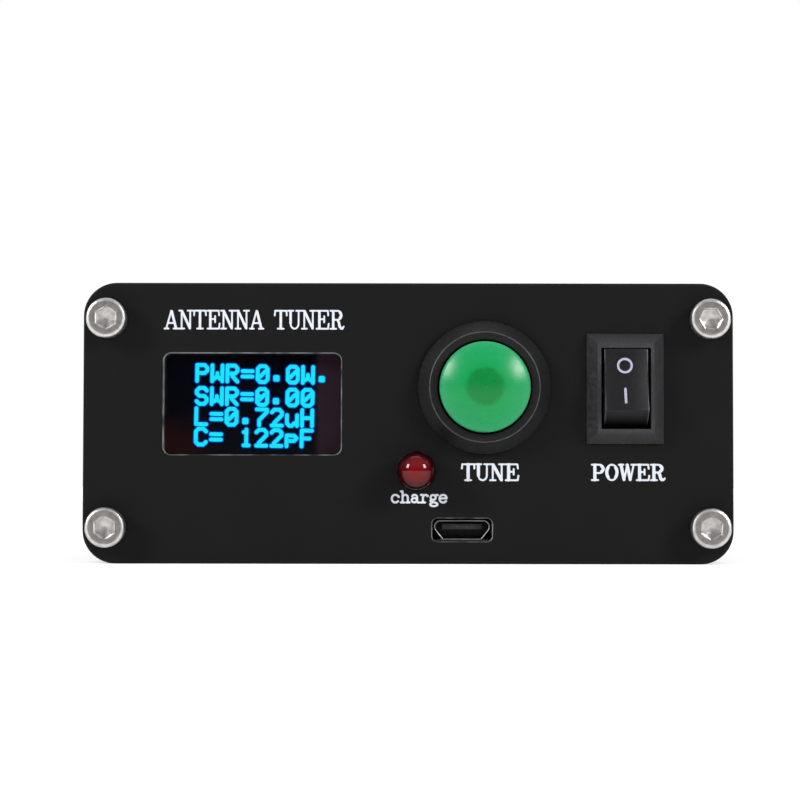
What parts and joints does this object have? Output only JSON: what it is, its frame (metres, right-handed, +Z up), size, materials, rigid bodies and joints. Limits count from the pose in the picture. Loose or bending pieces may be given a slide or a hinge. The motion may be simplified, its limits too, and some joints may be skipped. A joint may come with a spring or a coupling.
{
  "type": "antenna tuner",
  "caption": "Battery-powered automatic antenna tuner in a small extruded case, with a display, push button, rocker switch, lamp and charging port at the front and coaxial sockets at the rear.",
  "frame": {"origin": "centre of the underside of the extruded case, midway between its two ends", "axes": "+X to the right seen from the front, +Y from the front panel to the rear panel, +Z up"},
  "size_m": [0.088, 0.1346, 0.038],
  "materials": {
    "shell_anodised": "black anodised, fine satin",
    "panel_anodised": "black anodised, matt",
    "screw_steel": "satin stainless",
    "display_glass": "polished dark",
    "foam_black": "foam",
    "board_blue": "solder mask",
    "board_green": "solder mask",
    "moulded_black": "fine moulded grain",
    "moulded_natural": "moulded",
    "cap_green": "clear moulding",
    "spring_wire": "drawn wire",
    "contact_tin": "tin plate",
    "contact_brass": "bright",
    "lamp_red": "clear cast resin",
    "ring_red": "painted iron powder",
    "copper_enamel": "enamelled wire",
    "ceramic_tan": "dipped ceramic",
    "chip_black": "epoxy",
    "battery_foil": "wrinkled foil",
    "tape_white": "foam tape",
    "wire_red": "extruded",
    "wire_black": "extruded",
    "nickel_plate": "bright nickel",
    "ptfe_white": "turned"
  },
  "bodies": {
    "case": {"case_lower_shell": "shell_anodised", "case_upper_shell": "shell_anodised", "front_panel": "panel_anodised", "rear_panel": "panel_anodised", "front_panel_screws": "screw_steel", "rear_panel_screws": "screw_steel", "display_gasket": "foam_black", "display_glass": "display_glass", "display_board": "board_blue", "display_header": "moulded_black", "display_cable": "wire_black", "tune_button_housing": "moulded_black", "tune_button_spring": "spring_wire", "tune_button_base": "moulded_black", "tune_button_terminals": "contact_tin", "tune_button_nut": "moulded_black", "power_switch_housing": "moulded_black", "power_switch_terminals": "contact_tin", "charge_lamp_lens": "lamp_red", "charge_lamp_leads": "contact_tin", "usb_socket_shell": "nickel_plate", "usb_socket_tongue": "moulded_black", "charger_board": "board_blue", "charger_parts": "chip_black", "charger_pad": "foam_black", "battery_pack": "battery_foil", "battery_tape": "tape_white", "battery_leads": "wire_red", "main_board": "board_green", "relays": "chip_black", "toroid_cores": "ring_red", "toroid_windings": "copper_enamel", "air_coil": "copper_enamel", "tuning_capacitors": "ceramic_tan", "chip_socket": "moulded_black", "microcontroller": "chip_black", "driver_chips": "chip_black", "voltage_regulator": "chip_black", "electrolytic_capacitors": "wire_black", "board_connectors": "moulded_natural", "control_wires": "wire_black", "rf_socket_flanges": "nickel_plate", "rf_socket_barrels": "nickel_plate", "rf_socket_insulators": "ptfe_white", "rf_socket_contacts": "contact_brass", "rf_jumpers": "contact_tin", "socket_flange_screws": "nickel_plate", "socket_flange_nuts": "nickel_plate", "earth_stud": "contact_brass", "earth_washer": "nickel_plate", "earth_nut": "nickel_plate"},
    "tune_button": {"tune_button_cap": "cap_green", "tune_button_stem": "moulded_black", "tune_button_bridge": "contact_brass"},
    "power_rocker": {"power_switch_rocker": "moulded_black", "power_switch_plunger": "moulded_natural", "power_switch_spring": "spring_wire"},
    "contact_blade": {"power_switch_blade": "contact_brass"},
    "thumb_nut": {"earth_thumb_nut": "nickel_plate"}
  },
  "joints": [
    {"name": "tune_press", "type": "slide", "parent": "case", "child": "tune_button", "axis": [0, 1, 0], "range_m": [0, 0.002], "stiffness_N_per_m": 700, "springref_m": -0.002, "deforming": ["tune_button_spring"]},
    {"name": "power_rock", "type": "hinge", "parent": "case", "child": "power_rocker", "pos_m": [0.02935, -0.0558, 0.0237], "axis": [1, 0, 0], "range_deg": [0, 30]},
    {"name": "blade_tilt", "type": "hinge", "parent": "case", "child": "contact_blade", "pos_m": [0.02935, -0.0498, 0.0237], "axis": [1, 0, 0], "range_deg": [-12, 0]},
    {"name": "thumb_nut_spin", "type": "hinge", "parent": "case", "child": "thumb_nut", "pos_m": [0, 0.0656, 0.019], "axis": [0, 1, 0], "continuous": true}
  ],
  "couplings": [
    {"joint": "blade_tilt", "follows": "power_rock", "ratio": -0.4}
  ]
}
